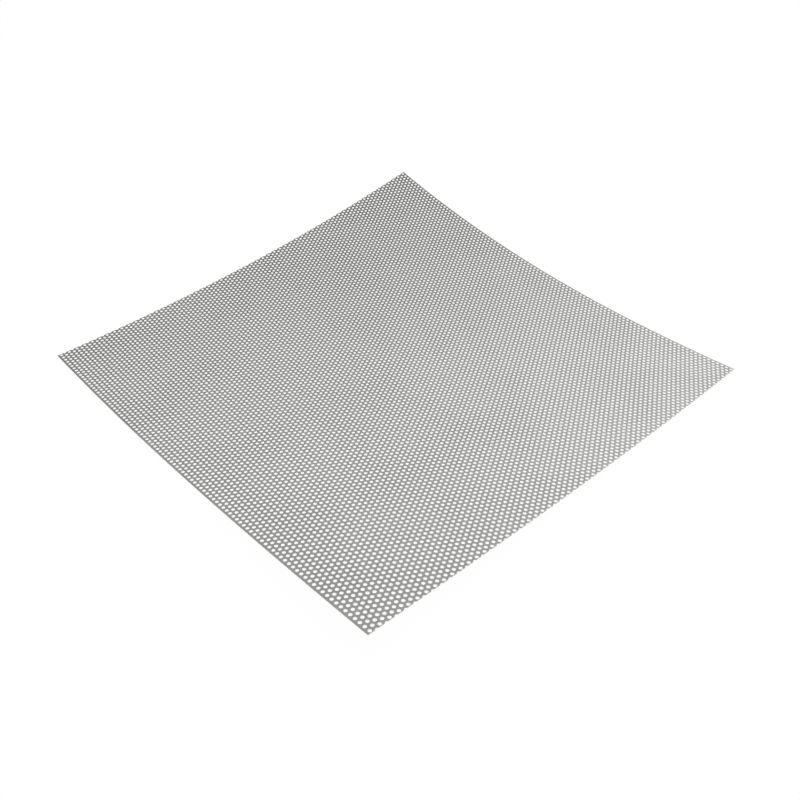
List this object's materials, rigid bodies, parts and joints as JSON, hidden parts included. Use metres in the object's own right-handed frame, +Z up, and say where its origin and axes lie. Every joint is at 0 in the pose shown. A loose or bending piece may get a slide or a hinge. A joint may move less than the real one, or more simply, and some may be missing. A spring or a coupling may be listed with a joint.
{
  "type": "perforated metal sheet",
  "caption": "Square sheet of thin metal punched all over with small round holes in staggered rows, gently bowed from corner to corner.",
  "frame": {"origin": "on the floor under the middle of the sheet, where the bowed sheet rests along a line close to its left to right diagonal", "axes": "+X along the rows of holes towards the near cut end, +Y across the rows, +Z up from the floor the sheet lies on"},
  "size_m": [0.4994, 0.5002, 0.0649],
  "materials": {
    "sheet": "satin mill finish"
  },
  "bodies": {
    "root": {"band_01": "sheet", "band_02": "sheet", "band_03": "sheet", "band_04": "sheet", "band_05": "sheet", "band_06": "sheet", "band_07": "sheet", "band_08": "sheet", "band_09": "sheet", "band_10": "sheet", "band_11": "sheet", "band_12": "sheet", "band_13": "sheet", "band_14": "sheet", "band_15": "sheet", "band_16": "sheet", "band_17": "sheet", "band_18": "sheet", "band_19": "sheet", "band_20": "sheet", "band_21": "sheet", "band_22": "sheet", "band_23": "sheet", "band_24": "sheet", "band_25": "sheet", "band_26": "sheet", "band_27": "sheet", "band_28": "sheet", "band_29": "sheet", "band_30": "sheet", "band_31": "sheet", "band_32": "sheet", "band_33": "sheet"}
  },
  "joints": []
}
